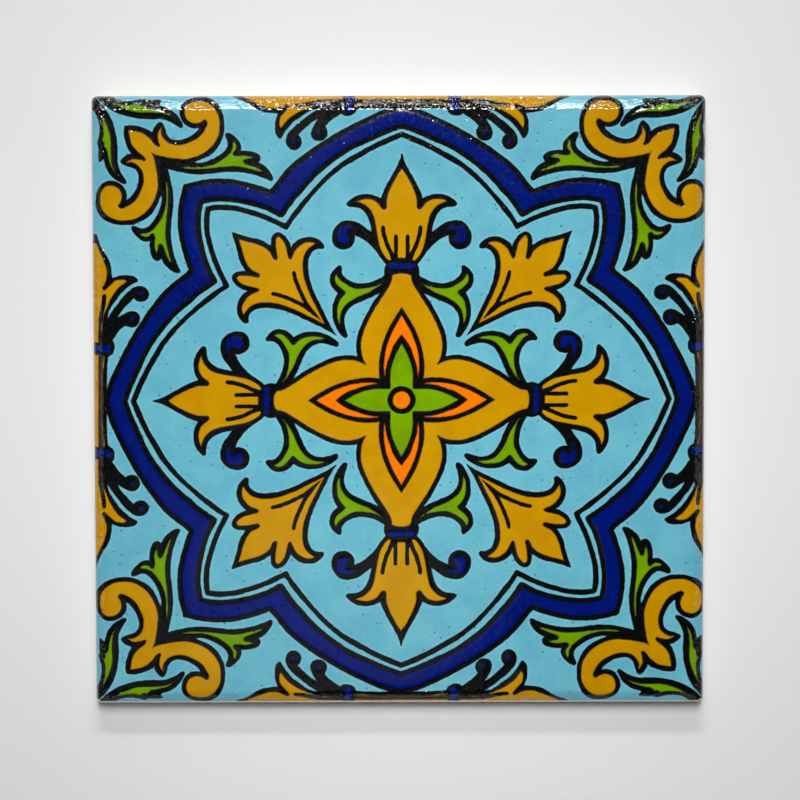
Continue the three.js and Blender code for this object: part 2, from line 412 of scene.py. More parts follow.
# %% Windows of the middle flower
GREEN_CROSS = [
    [(1.93, 1.93), (2.5, 1.92), (4, 1.95), (5, 1.88), (6, 1.68), (7, 1.36), (8, 0.95), (9, 0.42), (9.8, 0)],
]
ORANGE_PETAL = [
    [(3.9, 2.88), (5, 3.02), (6, 3.03), (7, 2.97), (8, 2.85), (9, 2.65), (10, 2.33), (11, 1.95),
     (12, 1.5), (13, 0.97), (14, 0.4), (14.65, 0)],
    [(11.34, 0), (11, 0.3), (10, 1.03), (9, 1.6), (8, 1.9), (7, 2.28), (6, 2.58), (5, 2.75), (3.9, 2.88)],
]
OCHRE_LOBE = [
    [(6.15, 6.1), (7, 6.55), (8, 6.85), (9, 6.98), (10, 6.98), (11, 6.8), (12, 6.5), (13, 6.1),
     (14, 5.63), (15, 5.1), (16, 4.53), (17, 3.9), (18, 3.24), (19, 2.6), (20, 2), (20.8, 1.72),
     (21.6, 1.63)],
    [(21.6, 1.63), (21.8, 1.1), (21.93, 0.5), (21.94, 0)],
]
OCHRE_LOBE_IN = [
    [(3.75, 3.75), (4.5, 3.85), (5.5, 3.9), (6.5, 3.87), (7.5, 3.75), (8.5, 3.55), (9.5, 3.32),
     (10.5, 3), (11.5, 2.62), (12.5, 2.18), (13.5, 1.62), (14.5, 1.02), (15.3, 0.5), (16.05, 0)],
]

# %% Windows of the axial lily and its sprig
OCHRE_AXIAL = [
    [(24.62, 0), (24.62, 0.6), (24.3, 1.7), (24.15, 2.2), (24.8, 2.88), (25.5, 3.3), (26.3, 3.68),
     (28, 4.08), (30, 4.42), (31.5, 4.72), (32.5, 5.1), (33.2, 5.6), (33.8, 6.3), (34.2, 7.1), (34.4, 7.9)],
    [(34.4, 7.9), (34.65, 7.3), (34.8, 6.6), (34.85, 5.9), (34.7, 5.15), (34.35, 4.4), (33.8, 3.85),
     (33.2, 3.45), (32.97, 3), (33.25, 2.63), (34.3, 2.6), (35, 2.55), (36, 2.23), (37, 1.8), (38, 1.3),
     (39, 0.75), (39.7, 0.25), (40.05, 0)],
]
GREEN_SPRIG = [
    [(20.45, 3.2), (20.15, 3.6), (19.85, 4.1), (19.58, 5), (19.4, 6), (19.3, 7), (19.33, 8), (19.6, 8.7),
     (19.86, 9.2), (20.2, 9.77), (20.6, 10.34), (21.06, 10.8), (21.85, 11.25)],
    [(21.85, 11.25), (21.17, 11.5), (20.54, 11.4), (20, 11.07), (19.4, 10.4), (19.03, 9.9), (18.67, 9.6),
     (18.35, 9.72), (18.04, 10.03), (17.5, 10.5), (17, 10.77), (16, 11.02), (15, 11.07), (14, 10.97),
     (13.2, 10.65)],
    [(13.2, 10.65), (14, 10.58), (15, 10.45), (15.6, 10.24), (16.33, 9.77), (16.95, 9.1), (17.6, 8.1),
     (18.05, 7.2), (18.4, 6.3), (18.8, 5.4), (19.15, 4.9), (19.5, 4.3), (20, 3.63), (20.45, 3.2)],
]

# %% Window of the diagonal lily
OCHRE_LILY = [
    [(13.2, 13.2), (14, 13.6), (15, 14.1), (16, 14.6), (17, 15.1), (18, 15.6), (19, 16), (20, 16.38),
     (21, 16.7), (22, 16.9), (23, 16.98), (24, 16.97), (25, 16.78), (25.85, 16.4), (26.5, 15.8),
     (26.95, 15.1), (27.15, 14.85)],
    [(27.15, 14.85), (27.35, 15.4), (27.4, 16.1), (27.2, 16.85), (26.85, 17.4), (26.4, 17.94),
     (25.65, 18.46), (24.9, 18.77), (24.45, 19.1), (24.7, 19.45), (25.33, 19.58), (26, 19.75), (27, 20),
     (28, 20.65), (28.4, 21.15)],
    [(28.4, 21.15), (28, 21.6), (27, 21.63), (26, 21.55), (25.3, 21.43), (24.6, 21.3), (24.3, 21.65),
     (24.5, 22), (25, 22.26), (25.65, 22.57), (26.17, 23.1), (26.55, 23.65), (26.94, 24.5),
     (27.25, 25.4), (27.46, 26.3), (27.67, 27.04), (27.95, 27.95)],
]

# %% Windows of the corner
SCROLL_OCHRE_OUT = [
    [(43, 43), (42.7, 42.5), (42.4, 41.56), (42.2, 40.5), (42, 39.5), (41.9, 38.4), (41.8, 37.4),
     (41.95, 36.4), (42.25, 35.3), (42.7, 34.3), (43.2, 33.5), (43.85, 32.75), (44.6, 32.15),
     (45.35, 31.7), (46.1, 31.4), (47.1, 31.26), (48.2, 31.26), (49, 31.36), (49.8, 31.7),
     (50.56, 32.15), (51.2, 32.8), (51.6, 33.6), (51.76, 34.5), (51.76, 35.2), (51.66, 35.83),
     (51.3, 36.67), (50.77, 37.14), (50.04, 37.3), (49.2, 37.14), (48.6, 36.8), (48.17, 36.15),
     (48, 35.4), (48.27, 34.4), (48.6, 33.97), (48.6, 33.6), (48.17, 33.34), (47.65, 33.45), (47, 33.76),
     (46.4, 34.1), (45.77, 34.65), (45.3, 35.3), (44.83, 36.25), (44.47, 37.1), (44.3, 37.9),
     (44.3, 38.75), (44.47, 39.6), (44.83, 40.3), (45.35, 40.8), (45.9, 41.15), (46.5, 41.3),
     (47.3, 41.25)],
    [(47.3, 41.25), (46.6, 41.7), (46, 41.9), (45.25, 41.8), (44.6, 41.67), (44.2, 41.5), (43.95, 41.75),
     (44.1, 42.1), (44.5, 42.55), (45.15, 43), (45.67, 43.54), (46.1, 44.06), (46.5, 44.8),
     (46.66, 45.67), (46.8, 46.3), (46.85, 46.85)],
]
GREEN_ACANTHUS = [
    [(40.42, 37.9), (40.2, 37), (40.1, 36), (40.1, 35), (40.15, 34), (40.2, 33), (40.3, 32), (40.44, 31),
     (40.5, 30), (40.57, 29), (40.5, 28), (40.33, 27), (40.1, 26.1), (39.9, 25.3), (39.7, 24.5),
     (39.56, 23.9)],
    [(39.56, 23.9), (39.8, 24.1), (40.1, 24.7), (40.4, 25.4), (40.7, 26.17), (40.94, 26.8),
     (41.15, 27.1), (41.4, 27.2), (41.75, 26.95), (41.87, 26.3), (42.06, 25.5)],
    [(42.06, 25.5), (42.3, 26.17), (42.42, 27), (42.35, 27.6), (42.3, 28.2), (42.34, 28.7), (42.66, 29),
     (43, 28.9), (43.33, 28.6), (43.85, 28.4), (44.4, 28.5), (44.95, 28.85)],
    [(44.95, 28.85), (44.4, 29), (43.85, 29), (43.33, 29.2), (42.8, 29.54), (42.2, 30.17), (41.67, 30.9),
     (41.15, 31.73), (40.83, 32.56), (40.57, 33.4), (40.4, 34.2), (40.36, 35), (40.38, 36), (40.42, 37.9)],
]
EDGE_LEAF_GREEN = [
    [(51.6, 49.6), (51.15, 48.8), (50.7, 47.9), (50.3, 46.8), (50, 45.7), (49.9, 44.6), (49.9, 43.4),
     (49.88, 42.2), (49.75, 41.1), (49.4, 40), (49.1, 39.5)],
    [(49.1, 39.5), (49.7, 40.2), (50.1, 41.3), (50.35, 42.3), (50.5, 43.4)],
    [(50.5, 43.4), (51.1, 44.15)],
    [(51.1, 44.15), (51, 44.6), (51.4, 45.2)],
    [(51.4, 45.2), (51.2, 45.9), (51.15, 46.9), (51.25, 47.9), (51.6, 49.6)],
]

# %% Window of the half lily
EDGE_OCHRE = [
    [(47.1, 20.75), (47.65, 21), (48.4, 21), (49.1, 20.85), (49.7, 20.3), (50.35, 19.7), (50.8, 19.3),
     (51.08, 19.2), (51.35, 19.5), (51.08, 20.1), (50.77, 20.75), (50.6, 21.5), (50.56, 22.2),
     (50.67, 23), (50.93, 23.8), (51.2, 24.6), (51.6, 25.4), (52, 26.3), (52.45, 27.3)],
    [(51.25, 14.2), (51.1, 14.9), (50.67, 15.9), (50.15, 17.2), (49.6, 18.2), (49, 19.1), (48.4, 19.8),
     (47.65, 20.35), (47.1, 20.75)],
]

# %% [markdown]
# ## From outlines to fields
# In the firing the black runs out a little, a few hundredths of a millimetre more on one shape than
# on the next. So each black outline comes with its own spread, which is taken off its distance.
# Brush strokes have no outline: they are a middle line and a half width.

# %% Fields of the black
BAND_APEX = [(50.5, 2.2), (51.05, 0)]
COBALT_INSET = 0.85
BLACK_SHAPES = {
    "flower_edge": (FLOWER, [(42.8, -1), (-1, -1)], 0.02),
    "lily_edge": (LILY, [(28.2, 30.2), (10.15, 12.15)], 0.05),
    "scroll_edge": (SCROLL, [(47.6, 49), (39.2, 41.2)], 0.05),
    "leaf_edge": (EDGE_LEAF, [(54, 51), (54, 53.85)], 0),
    "side_edge": (EDGE_MOTIF, [(58, 29), (58, -1), (50.6, -1)], 0),
    "thin_outer": (THIN, [(46.45, -1), (-1, -1), (-1, 33.55)], 0.06),
    "thin_inner": (THIN_IN, [(45.5, -1), (-1, -1), (-1, 32.85)], -0.03),
    "band_outer": (BAND_OUT + [BAND_APEX], [(51.05, -1), (-1, -1), (-1, 37.45)], 0.04),
    "band_inner": (BAND_IN, [(47, -1), (-1, -1), (-1, 34.1)], -0.05),
}
print("fields of the black:", len(BLACK_SHAPES))

# %% Fields of the enamels
RING_RADIUS = 1.965
RING_HALF_WIDTH = 0.465
GREENS = [
    (GREEN_CROSS, [(9.8, -1), (-1, -1)]),
    (GREEN_SPRIG, []),
    (GREEN_ACANTHUS, []),
    (EDGE_LEAF_GREEN, []),
]
OCHRES = [
    (OCHRE_LOBE + [run[::-1] for run in OCHRE_LOBE_IN], [(3.5, 4.5), (5.9, 6.9)]),
    (OCHRE_AXIAL, []),
    (OCHRE_LILY, [(27, 28.9), (12.2, 14.2)]),
    (SCROLL_OCHRE_OUT, [(46, 47.8), (42.2, 44)]),
    (EDGE_OCHRE[::-1], [(58, 27.3), (58, 14.2)]),
    ([[(51.98, -1), (52.03, 4), (51.98, 8)], [(51.98, 8), (58, 8)]], [(58, -1)]),
    ([[(58, 10.1), (52.05, 10.1)], [(52.05, 10.1), (52.03, 12), (51.9, 14.2)]], [(58, 14.2)]),
]
SIDE_BAND = [
    ([(51.5, 0), (51.45, 4), (51.25, 7.8)], 0.3),
    ([(51.3, 14.6), (51.45, 13.2), (51.5, 12.2)], 0.2),
]
SIDE_LINE = [
    ([(51.42, 0), (51.36, 4)], 0.06),
    ([(51.36, 4), (51.18, 6)], 0.12),
    ([(51.18, 6), (51.0, 7.9)], 0.16),
    ([(51.3, 14.6), (51.45, 13.2), (51.5, 12.2)], 0.1),
]

# %% Fields of the brush strokes
COBALT_TENDRIL = [
    [(27.1, 10), (27.6, 11), (29, 11.1), (29.9, 10.6), (30.2, 9.8), (30.1, 8.8), (29.8, 7.8), (29.4, 7)],
    [(29.4, 7), (29.3, 7.8), (29.4, 8.9), (29.2, 9.6), (28.6, 9.4), (28.1, 9), (27.5, 9), (27.1, 9.6),
     (27.1, 10)],
]
STAMEN_WEDGE = [[(13.75, 13.7), (15, 14.6), (16, 15.35), (17, 16.15)], [(17, 16.15), (16.6, 16.75)]]
STROKES = [
    ([(24.3, 1.45), (25.6, 1.9), (27, 2.55), (28, 2.87), (29, 3.12), (29.87, 3.22)], 0.38),
    ([(24.3, 1.0), (28.35, 1.0)], 0.36),
    ([(24.2, 1.25), (25.2, 1.4)], 0.3),
    ([(22.1, 18.5), (21, 18.25), (20, 17.9), (19, 17.47), (18, 17), (17, 16.5), (16, 15.95)], 0.36),
    ([(51.0, 18.2), (51.1, 17), (51.4, 15.5), (51.7, 14)], 0.38),
]
COBALT_STROKES = [
    ([(23.15, 0), (23.15, 1.9)], 0.5),
    ([(50.35, 9.05), (54, 9.05)], 0.64),
    ([(46.2, 14.2), (46.3, 14.2)], 0.45),
    ([(44.65, 18.6), (44.75, 18.6)], 0.45),
]


def paint_fields(x, y):
    """All fields of the painting at points of the tile, by name."""
    print_x, print_y = print_place(x, y)
    points = fold(print_x, print_y)
    middle = np.hypot(print_x, print_y)
    fields = {
        name: shape_field(points, [(runs, closing)]) - spread
        for name, (runs, closing, spread) in BLACK_SHAPES.items()
    }
    stamens = shape_field(points, [(STAMEN_WEDGE, [(15, 17.5), (12.7, 14.7)])])
    strokes = np.minimum(stroke_field(points, STROKES), stamens)
    cobalt = np.minimum(stroke_field(points, COBALT_STROKES), shape_field(points, [(COBALT_TENDRIL, [])]))
    dot = middle - RING_RADIUS + RING_HALF_WIDTH
    fields.update({
        "green_edge": shape_field(points, GREENS),
        "orange_edge": np.minimum(shape_field(points, [(ORANGE_PETAL, [])]), dot),
        "ochre_edge": shape_field(points, OCHRES),
        "side_band_edge": stroke_field(points, SIDE_BAND),
        "side_line_edge": stroke_field(points, SIDE_LINE),
        "cobalt_edge": cobalt,
        "stroke_edge": np.minimum(strokes, np.abs(middle - RING_RADIUS) - RING_HALF_WIDTH),
    })
    return fields


# %% [markdown]
# ## Dividing the cells where it matters
# Between two vertices a field is read as a straight slope, which is right along smooth edges but
# cuts off sharp tips and closes narrow gaps. The middle of every cell tells which cells are wrong:
# there the true distance differs from the mean of the four corners. Only these cells are divided,
# four by four, so the fine tips are crisp and the whole sheet stays light. A cell beside a divided
# one takes in the extra points of the side that they share, so the sheet has no gaps.

# %% Find the cells to divide
DIVISIONS = 4
MOST_DIVIDED = 2300
MARGIN = 0.03
BORDER_CELLS = 2
LEFT_COARSE = ("cobalt_edge", "side_band_edge", "side_line_edge")

count = len(lines)
row, column = np.divmod(np.arange(count * count), count)
coarse = paint_fields(*glaze_place(column, row))
cell_row, cell_column = (part.ravel() for part in np.mgrid[0 : count - 1, 0 : count - 1])
corner = cell_row * count + cell_column
corners = np.stack([corner, corner + 1, corner + count + 1, corner + count])
middle_fields = paint_fields(*glaze_place(cell_column + 0.5, cell_row + 0.5))
error = np.zeros(len(corner))
for name, field in coarse.items():
    if name in LEFT_COARSE:
        continue
    at_middle = middle_fields[name]
    nearest = np.minimum(np.abs(at_middle), np.abs(field[corners]).min(0))
    wrong = np.abs(at_middle - field[corners].mean(0))
    error = np.maximum(error, np.where(nearest < wrong + MARGIN, wrong, 0))
from_border = np.minimum.reduce([
    cell_row, cell_column, count - 2 - cell_row, count - 2 - cell_column
])
error[from_border < BORDER_CELLS] = 0
threshold = np.sort(error)[-MOST_DIVIDED]
divided = error > threshold
print("cells divided:", int(divided.sum()), "of", len(corner), "largest error left, mm:", round(threshold, 3))

# %% Lattice points that the sheet uses
STRIDE = DIVISIONS * (count - 1) + 1


def lattice(row, column):
    """Number of a lattice point, counted along rows of the divided grid."""
    return row * STRIDE + column


offset_row, offset_column = (part.ravel() for part in np.mgrid[0 : DIVISIONS + 1, 0 : DIVISIONS + 1])
fine_row = (cell_row[divided] * DIVISIONS)[:, None] + offset_row
fine_column = (cell_column[divided] * DIVISIONS)[:, None] + offset_column
fine = np.unique(lattice(fine_row, fine_column))
coarse_points = lattice(row * DIVISIONS, column * DIVISIONS)
added = np.setdiff1d(fine, coarse_points)
used = np.concatenate([coarse_points, added])
order = np.argsort(used)


def vertex(points):
    """Vertex numbers of lattice points."""
    return order[np.searchsorted(used, points, sorter=order)]


added_row, added_column = np.divmod(added, STRIDE)
fine_fields = paint_fields(*glaze_place(added_column / DIVISIONS, added_row / DIVISIONS))
fields = {name: np.concatenate([coarse[name], fine_fields[name]]) for name in coarse}
used_row, used_column = np.divmod(used, STRIDE)
x, y = glaze_place(used_column / DIVISIONS, used_row / DIVISIONS)
inset = rim_distance(x, y)
print("vertices of the sheet:", len(used))

# %% Faces of the sheet
step = np.arange(DIVISIONS)
base = lattice(cell_row * DIVISIONS, cell_column * DIVISIONS)
small = (base[divided, None, None] + step[:, None] * STRIDE + step).ravel()
small_quads = vertex(np.column_stack([small, small + 1, small + STRIDE + 1, small + STRIDE]))

sides = (
    (-1, 0, step),
    (0, 1, DIVISIONS + step * STRIDE),
    (1, 0, DIVISIONS * STRIDE + DIVISIONS - step),
    (0, -1, (DIVISIONS - step) * STRIDE),
)
divided_map = np.zeros((count + 1, count + 1), bool)
divided_map[1:-1, 1:-1] = divided.reshape(count - 1, count - 1)
beside = [divided_map[cell_row + 1 + down, cell_column + 1 + right] for down, right, _ in sides]
kind = sum(flag * 2**side for side, flag in enumerate(beside))
faces = small_quads.tolist()
for case in range(16):
    chosen = ~divided & (kind == case)
    walk = np.concatenate([
        offsets if case >> side & 1 else offsets[:1] for side, (_, _, offsets) in enumerate(sides)
    ])
    faces += vertex(base[chosen, None] + walk).tolist()
print("faces of the sheet:", len(faces))

# %% [markdown]
# ## Building the glaze
# The enamels are laid on thickly, so they stand a few hundredths of a millimetre higher than the
# ground, with soft edges that catch the light. The top sheet is the highest part. More rings carry
# it down the side to a lip that waves as glaze does where it ran and stopped. From there it turns in
# under itself and follows the clay just below the surface, so the coat is a closed body of its own.

# %% Relief and lip
RELIEF = 0.02
RELIEF_AT_BORDER = 0.035
RELIEF_EDGE = 0.3
RELIEF_GROWS = (6, 3)
LIP_WAVE = 0.28
LIP_SINES = ((7, 1.0, 1.0), (19, 0.7, 2.2), (43, 0.4, 0.0))


def relief_drop(fields, inset):
    """Drop of the sheet outside the enamels: the smooth step of the least enamel field, from the
    inner to the outer side of its edge, times the height of the relief, which grows to the border."""
    enamel = np.minimum.reduce([fields[name] for name in ("green_edge", "orange_edge", "ochre_edge")])
    band = np.maximum(fields["band_outer"], -fields["band_inner"]) + COBALT_INSET
    enamel = np.minimum(enamel, np.minimum(band, fields["cobalt_edge"]))
    thickness = RELIEF + (RELIEF_AT_BORDER - RELIEF) * ease(inset, *RELIEF_GROWS)
    return thickness * ease(enamel, -RELIEF_EDGE, RELIEF_EDGE)


def lip_wave(x, y):
    """Wave of the lip along the rim: three sines of the angle from the middle, each with a whole
    number of periods so that it closes, a share and a phase, divided by the sum of the shares."""
    turn = np.arctan2(y, x)
    waves = sum(share * np.sin(periods * turn + phase) for periods, share, phase in LIP_SINES)
    return LIP_WAVE * waves / sum(share for _, share, _ in LIP_SINES)


# %% Closed sheets
LIP_RINGS = ((0.0, 5.2), (0.0, 4.95), (0.04, 4.82), (0.13, 4.9), (0.16, 5.75), (1.75, 6.74), (2.4, 6.8))
WAVING_BELOW = 5.0
BAKED_SHARE = 0.94
HIDDEN_SPOT = 0.001
HIDDEN_SIZE = 0.002


def lay_out(mesh, name, sizes, half, closing):
    """Map for baking: the sheet lies flat over most of the square, each ring frames it a little
    further out, and the hidden closing face is put into a corner."""
    place = np.empty(len(mesh.vertices) * 3, np.float32)
    mesh.vertices.foreach_get("co", place)
    place = place.reshape(-1, 3)[:, :2] / MM
    ring_of = np.repeat(np.arange(len(sizes)), sizes)
    reach = np.abs(place).max(1).clip(SHORTEST)
    frame_share = BAKED_SHARE + (1 - BAKED_SHARE) * ring_of / len(sizes)
    scale = np.where(ring_of == 0, BAKED_SHARE / half, frame_share / reach)
    spot = 0.5 + place * scale[:, None] / 2
    vertex_of = np.empty(len(mesh.loops), np.int32)
    mesh.loops.foreach_get("vertex_index", vertex_of)
    corners = spot[vertex_of]
    corners[-closing:] = HIDDEN_SPOT + HIDDEN_SIZE * corners[-closing:]
    layer = mesh.uv_layers.new(name=name)
    layer.data.foreach_set("uv", corners.astype(np.float32).ravel())


def closed_sheet(name, x, y, z, faces, ring, rings, half, wave=None):
    """A sheet closed below: each ring copies the border at an inset and a height, the rings are
    joined by quads, and one face closes the last of them."""
    points, polygons, previous = [np.column_stack([x, y, z])], list(faces), ring
    lift = np.zeros(len(ring)) if wave is None else wave(x[ring], y[ring])
    for ring_inset, height in rings:
        scale = (half - ring_inset) / half
        start = sum(len(block) for block in points)
        ring_z = height + (lift if height < WAVING_BELOW else 0 * lift)
        points.append(np.column_stack([x[ring] * scale, y[ring] * scale, ring_z]))
        current = start + np.arange(len(ring))
        band = np.column_stack([previous, current, np.roll(current, -1), np.roll(previous, -1)])
        polygons += band.tolist()
        previous = current
    polygons.append(previous[::-1].tolist())
    mesh = bpy.data.meshes.new(name)
    mesh.from_pydata((np.vstack(points) * MM).tolist(), [], polygons)
    mesh.update()
    mesh.shade_smooth()
    lay_out(mesh, "OFBake", [len(block) for block in points], half, len(ring))
    return mesh


# %% Mesh of the glaze
border = border_ring(count)
z = TOP - border_drop(inset) - relief_drop(fields, inset)
glaze_mesh = closed_sheet("glaze", x, y, z, faces, border, LIP_RINGS, HALF, lip_wave)
triangles = sum(len(polygon.vertices) - 2 for polygon in glaze_mesh.polygons)
print("glaze:", len(glaze_mesh.vertices), "vertices,", triangles, "triangles")

# %% Fields on the vertices
fields["rim_inset"] = inset
for name, field in fields.items():
    attribute = glaze_mesh.attributes.new(name, "FLOAT", "POINT")
    values = np.full(len(glaze_mesh.vertices), REACH, np.float32)
    values[: len(field)] = field
    attribute.data.foreach_set("value", values)

glaze = bpy.data.objects.new("glaze", glaze_mesh)
bpy.context.collection.objects.link(glaze)
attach(glaze, "root")
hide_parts("tile")

# %% [markdown]
# ## The clay body
# The body is pressed in a mould, so its sides lean in by a third of a millimetre towards the back,
# and the back has ten long recesses that the bedding mortar keys into. The back is a grid laid face
# down: its lines are gathered where the flanks of the recesses are, and its height is a formula of
# the distance into a recess. The sides and the hidden top follow as rings, as on the glaze.

# %% Back of the clay
KEY_COUNT = 10
KEY_PITCH = 9.6
KEY_HALF = 3.3
KEY_DEPTH = 0.6
KEY_FLANK = 0.5
KEY_END = 46.5
BACK_INSET = 0.75
FLANK_STEPS = (0, 0.13, 0.25, 0.38, 0.5, 1.1, 1.8, 2.55)
RIB_STEPS = (-0.8, 0, 0.8)
EDGE_STEPS = (0, 0.5, 1, 1.8, 2.8, 3.8, 4.5)
END_LINES = 24
END_SPAN = (KEY_END - KEY_HALF - 0.4, KEY_END + 0.3)
MIDDLE_HALF = 41

key_middles = (np.arange(KEY_COUNT) - (KEY_COUNT - 1) / 2) * KEY_PITCH
across_key = KEY_HALF - np.array(FLANK_STEPS)
key_lines = (key_middles[:, None] + np.concatenate([-across_key, [0], across_key[::-1]])).ravel()
rib_lines = (key_middles[:-1, None] + KEY_PITCH / 2 + np.array(RIB_STEPS)).ravel()
outer = HALF - BACK_INSET
edge_lines = np.concatenate([-outer + np.array(EDGE_STEPS), outer - np.array(EDGE_STEPS)])
back_x = np.unique(np.concatenate([key_lines, rib_lines, edge_lines]).round(4))
end_lines = np.linspace(*END_SPAN, END_LINES)
middle_count = len(back_x) - 2 * END_LINES - len(edge_lines)
middle_lines = np.linspace(-MIDDLE_HALF, MIDDLE_HALF, middle_count)
back_y = np.sort(np.concatenate([middle_lines, end_lines, -end_lines, edge_lines]))
print("lines over the back:", len(back_x), "by", len(back_y))


def recess_height(x, y):
    """Height of the back above the bed: the distance into the nearest long slot with round ends,
    divided by the width of its flank and held between 0 and 1, times the depth."""
    across = x - key_middles[np.abs(x[:, None] - key_middles).argmin(1)]
    beyond = np.maximum(np.abs(y) - (KEY_END - KEY_HALF), 0)
    into = KEY_HALF - np.hypot(across, beyond)
    return KEY_DEPTH * np.clip(into / KEY_FLANK, 0, 1)


# %% Mesh of the clay
CLAY_RINGS = ((-0.3, 0.13), (-0.4, 0.4), (-0.65, 4.7), (-0.62, 5.7), (0.95, 6.7), (1.6, 6.78))

grid_x, grid_y = np.meshgrid(back_x[::-1], back_y)
clay_x, clay_y = rounded_plan(grid_x.ravel(), grid_y.ravel(), outer, CORNER_RADIUS)
clay_z = recess_height(clay_x, clay_y)
clay_count = len(back_x)
clay_corner = (np.arange(clay_count - 1)[:, None] * clay_count + np.arange(clay_count - 1)).ravel()
clay_faces = np.column_stack([
    clay_corner, clay_corner + 1, clay_corner + clay_count + 1, clay_corner + clay_count
]).tolist()
clay_mesh = closed_sheet(
    "clay", clay_x, clay_y, clay_z, clay_faces, border_ring(clay_count), CLAY_RINGS, outer
)
clay = bpy.data.objects.new("clay", clay_mesh)
bpy.context.collection.objects.link(clay)
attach(clay, "root")
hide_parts("tile")
print("clay:", len(clay_mesh.vertices), "vertices,", len(clay_mesh.polygons), "faces")

# %% [markdown]
# ## Tools for the looks
# A small helper adds nodes to a material and joins them up, so that a finish reads as a few lines.
# The grain of fired ware, with its clouds of colour and its pinholes, is on both the glaze and the
# clay at different scales. It is therefore a node group, made once and placed in each material.

# %% Helpers for materials


def linear(red, green, blue, share=1.0):
    """Linear colour of an sRGB colour given from 0 to 255: ((c + 0.055) / 1.055)^2.4, times a
    share."""
    c = np.array([red, green, blue]) / 255
    return (*(np.where(c <= 0.04045, c / 12.92, ((c + 0.055) / 1.055) ** 2.4) * share), 1.0)


class Painter:
    """Adds nodes to one node tree and joins them up. A value is a socket or a plain number."""

    def __init__(self, tree, place):
        self.tree = tree
        self.place = place

    def node(self, kind, **values):
        made = self.tree.nodes.new(kind)
        for key, value in values.items():
            setattr(made, key, value)
        return made

    def feed(self, socket, value):
        if isinstance(value, bpy.types.NodeSocket):
            self.tree.links.new(value, socket)
        else:
            socket.default_value = value

    def field(self, name):
        """A number kept on the vertices."""
        return self.node("ShaderNodeAttribute", attribute_name=name).outputs["Fac"]

    def step(self, value, start, end, low=0.0, high=1.0):
        """Smooth step from low, where the value is start, to high, where it is end."""
        made = self.node("ShaderNodeMapRange", interpolation_type="SMOOTHSTEP")
        for socket, number in zip(made.inputs, (value, start, end, low, high)):
            self.feed(socket, number)
        return made.outputs[0]

    def math(self, operation, *values):
        made = self.node("ShaderNodeMath", operation=operation)
        for socket, number in zip(made.inputs, values):
            self.feed(socket, number)
        return made.outputs[0]

    def chain(self, operation, result, *others):
        """One operation on many values, two at a time."""
        for value in others:
            result = self.math(operation, result, value)
        return result

    def least(self, *values):
        return self.chain("MINIMUM", *values)

    def product(self, *values):
        return self.chain("MULTIPLY", *values)

    def total(self, *values):
        return self.chain("ADD", *values)

    def mix(self, factor, first, second):
        """Colour on the way from the first, at 0, to the second, at 1."""
        made = self.node("ShaderNodeMix", data_type="RGBA")
        self.feed(made.inputs["Factor"], factor)
        self.feed(made.inputs[6], first)
        self.feed(made.inputs[7], second)
        return made.outputs[2]

    def noise(self, scale, detail=3.0, roughness=0.5, place=None):
        """Soft noise around 0.5, with as many bumps to the metre as the scale says."""
        made = self.node("ShaderNodeTexNoise")
        self.feed(made.inputs["Vector"], place or self.place)
        self.feed(made.inputs["Scale"], scale)
        made.inputs["Detail"].default_value = detail
        made.inputs["Roughness"].default_value = roughness
        return made.outputs["Fac"]


def new_finish(name):
    """A material with its painter and its shader."""
    material = bpy.data.materials.new(name)
    material.use_nodes = True
    tree = material.node_tree
    place = tree.nodes.new("ShaderNodeTexCoord").outputs["Object"]
    return material, Painter(tree, place), tree.nodes["Principled BSDF"]


# %% Grain of fired ware
GRAIN_SCALES = ("Cloud scale", "Grain scale", "Pit scale", "Pit size", "Pit share")


def build_grain():
    """Clouds are soft noise. A pit is a disc round some of the points of a random scatter: its
    mask falls from 1 to 0 over the pit's size, and only the points whose own random number is
    below the share have one."""
    group = bpy.data.node_groups.new("fired_grain", "ShaderNodeTree")
    face = group.interface
    face.new_socket("Place", in_out="INPUT", socket_type="NodeSocketVector")
    for name in GRAIN_SCALES:
        face.new_socket(name, in_out="INPUT", socket_type="NodeSocketFloat")
    for name in ("Clouds", "Grain", "Pits"):
        face.new_socket(name, in_out="OUTPUT", socket_type="NodeSocketFloat")
    given = group.nodes.new("NodeGroupInput")
    hand = Painter(group, given.outputs["Place"])
    result = group.nodes.new("NodeGroupOutput")
    soft = hand.noise(given.outputs["Cloud scale"], 3.0, 0.55)
    hand.feed(result.inputs["Clouds"], hand.step(soft, 0.3, 0.7))
    hand.feed(result.inputs["Grain"], hand.noise(given.outputs["Grain scale"], 4.0, 0.6))
    scatter = hand.node("ShaderNodeTexVoronoi")
    hand.feed(scatter.inputs["Vector"], hand.place)
    hand.feed(scatter.inputs["Scale"], given.outputs["Pit scale"])
    share = hand.math("DIVIDE", scatter.outputs["Distance"], given.outputs["Pit size"])
    disc = hand.math("MAXIMUM", hand.math("SUBTRACT", 1.0, share), 0.0)
    split = hand.node("ShaderNodeSeparateColor")
    hand.feed(split.inputs[0], scatter.outputs["Color"])
    chosen = hand.math("LESS_THAN", split.outputs[0], given.outputs["Pit share"])
    hand.feed(result.inputs["Pits"], hand.product(disc, chosen))
    return group


grain_group = build_grain()


def grain(hand, *scales):
    """Places the grain in a material with its own scales and returns its three outputs."""
    made = hand.node("ShaderNodeGroup", node_tree=grain_group)
    hand.feed(made.inputs["Place"], hand.place)
    for name, number in zip(GRAIN_SCALES, scales):
        made.inputs[name].default_value = number
    return made.outputs["Clouds"], made.outputs["Grain"], made.outputs["Pits"]


# %% [markdown]
# ## Looks of the glaze
# Each field is turned into a mask with a step less than two tenths of a millimetre wide, and the
# enamels are laid over one another in the order of the brush: ground, black, cobalt, green, orange,
# ochre, and last the black strokes. The ground is cloudy and has pinholes, and it is paler where it drew
# together beside the black. A little noise on the fields makes the edges of the print slightly
# rough, as a screen leaves them.

# %% Colours of the enamels
LIGHT = 1.2


